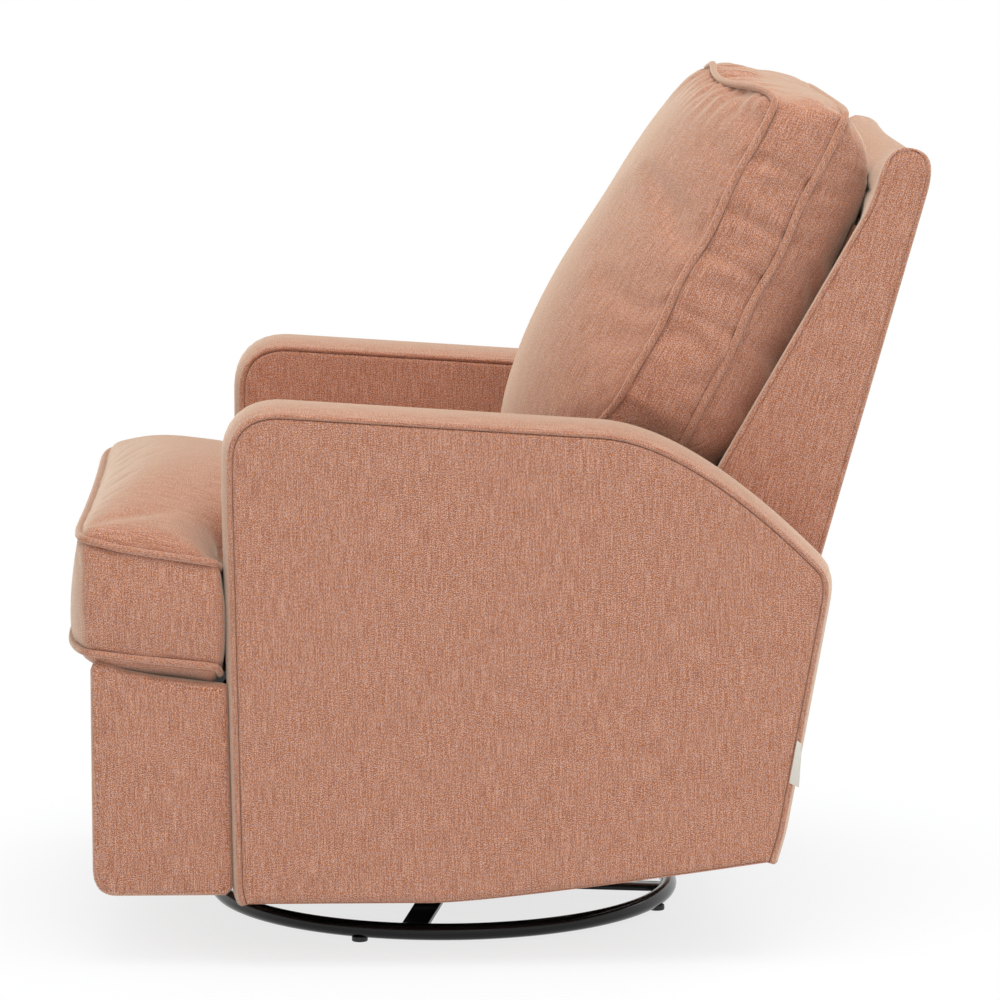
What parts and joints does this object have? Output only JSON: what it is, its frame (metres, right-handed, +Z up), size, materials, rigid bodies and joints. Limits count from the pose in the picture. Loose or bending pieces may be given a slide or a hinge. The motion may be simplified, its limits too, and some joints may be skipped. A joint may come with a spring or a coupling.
{
  "type": "swivel glider recliner",
  "caption": "Upholstered swivel glider recliner with a reclining back, a fold-out footrest and a round steel ring base.",
  "frame": {"origin": "on the floor, under the middle of the chair's length and width", "axes": "+Z up, the front of the seat towards -Y, the sitter's left towards +X"},
  "size_m": [0.7515, 0.944, 0.9681],
  "materials": {
    "upholstery": "woven terracotta melange cloth",
    "black_enamel": "gloss black enamel on steel",
    "black_plate": "satin black paint on pressed steel",
    "zinc_steel": "zinc-plated strip steel",
    "spring_steel": "oiled spring wire",
    "plywood": "raw birch plywood",
    "black_plastic": "moulded black plastic",
    "webbing_cloth": "woven elastic webbing",
    "tag_cloth": "bare woven ribbon"
  },
  "bodies": {
    "base": {"base_ring": "black_enamel", "base_cross": "black_enamel", "glide_foot_1": "black_plastic", "glide_foot_2": "black_plastic", "glide_foot_3": "black_plastic", "glide_foot_4": "black_plastic", "swivel_pedestal": "black_plate", "ball_race": "zinc_steel", "kingpin": "zinc_steel"},
    "swivel_frame": {"upper_swivel_plate": "black_plate", "glide_stand_left": "black_plate", "glide_stand_right": "black_plate"},
    "glide_front_links": {"glide_link_front_left": "zinc_steel", "glide_link_front_right": "zinc_steel"},
    "glide_rear_links": {"glide_link_rear_left": "zinc_steel", "glide_link_rear_right": "zinc_steel"},
    "seat_frame": {"seat_hanger_left": "black_plate", "seat_hanger_right": "black_plate", "cross_tube_front": "black_plate", "cross_tube_rear": "black_plate", "side_plate_left": "black_plate", "side_plate_right": "black_plate", "seat_side_rail_left": "plywood", "seat_side_rail_right": "plywood", "seat_front_rail": "plywood", "seat_rear_rail": "plywood", "seat_spring_1": "spring_steel", "seat_spring_2": "spring_steel", "seat_spring_3": "spring_steel", "arm_cover_left": "upholstery", "arm_cover_right": "upholstery", "arm_panel_left": "plywood", "arm_panel_right": "plywood", "label_tag": "tag_cloth", "seat_cushion": "upholstery", "rear_apron": "upholstery"},
    "drive_links": {"link_a_left": "zinc_steel", "link_a_right": "zinc_steel", "torque_tube": "black_plate"},
    "cross_links": {"link_b_left": "zinc_steel", "link_b_right": "zinc_steel"},
    "lift_links": {"link_c_left": "zinc_steel", "link_c_right": "zinc_steel"},
    "steady_links": {"link_d_left": "zinc_steel", "link_d_right": "zinc_steel"},
    "footrest": {"footrest_cover": "upholstery", "footrest_board": "plywood", "footrest_bracket_left": "zinc_steel", "footrest_bracket_right": "zinc_steel"},
    "back": {"back_shell": "upholstery", "back_post_left": "plywood", "back_post_right": "plywood", "back_top_rail": "plywood", "back_bracket_left": "zinc_steel", "back_bracket_right": "zinc_steel", "back_webbing_1": "webbing_cloth", "back_webbing_2": "webbing_cloth", "back_cushion": "upholstery"},
    "release_pull": {"release_pull": "black_plastic"}
  },
  "joints": [
    {"name": "swivel", "type": "hinge", "parent": "base", "child": "swivel_frame", "pos_m": [0, -0.059, 0.05], "axis": [0, 0, 1], "continuous": true},
    {"name": "glide", "type": "hinge", "parent": "swivel_frame", "child": "glide_front_links", "pos_m": [0, -0.169, 0.222], "axis": [1, 0, 0], "range_deg": [-20, 20]},
    {"name": "seat_level", "type": "hinge", "parent": "glide_front_links", "child": "seat_frame", "pos_m": [0, -0.169, 0.104], "axis": [1, 0, 0], "range_deg": [-20, 20]},
    {"name": "glide_rear", "type": "hinge", "parent": "swivel_frame", "child": "glide_rear_links", "pos_m": [0, 0.051, 0.222], "axis": [1, 0, 0], "range_deg": [-20, 20]},
    {"name": "back_recline", "type": "hinge", "parent": "seat_frame", "child": "back", "pos_m": [0, 0.191, 0.305], "axis": [-1, 0, 0], "range_deg": [0, 35]},
    {"name": "footrest_open", "type": "hinge", "parent": "seat_frame", "child": "drive_links", "pos_m": [0, -0.2986, 0.28873], "axis": [-1, 0, 0], "range_deg": [0, 55]},
    {"name": "cross_link_turn", "type": "hinge", "parent": "drive_links", "child": "cross_links", "pos_m": [0, -0.33024, 0.20181], "axis": [-1, 0, 0], "range_deg": [-110, 0]},
    {"name": "lift_link_turn", "type": "hinge", "parent": "drive_links", "child": "lift_links", "pos_m": [0, -0.36188, 0.11489], "axis": [-1, 0, 0], "range_deg": [-110, 0]},
    {"name": "steady_link_turn", "type": "hinge", "parent": "cross_links", "child": "steady_links", "pos_m": [0, -0.3463, 0.29291], "axis": [-1, 0, 0], "range_deg": [0, 110]},
    {"name": "footrest_turn", "type": "hinge", "parent": "lift_links", "child": "footrest", "pos_m": [0, -0.394, 0.29708], "axis": [-1, 0, 0], "range_deg": [0, 145]},
    {"name": "release", "type": "slide", "parent": "seat_frame", "child": "release_pull", "axis": [0, 0, 1], "range_m": [0, 0.025], "stiffness_N_per_m": 300}
  ],
  "couplings": [
    {"joint": "seat_level", "follows": "glide", "ratio": -1},
    {"joint": "glide_rear", "follows": "glide", "ratio": 1},
    {"joint": "cross_link_turn", "follows": "footrest_open", "ratio": -2},
    {"joint": "lift_link_turn", "follows": "footrest_open", "ratio": -2},
    {"joint": "steady_link_turn", "follows": "footrest_open", "ratio": 2},
    {"joint": "footrest_turn", "follows": "footrest_open", "ratio": 2.6364}
  ]
}
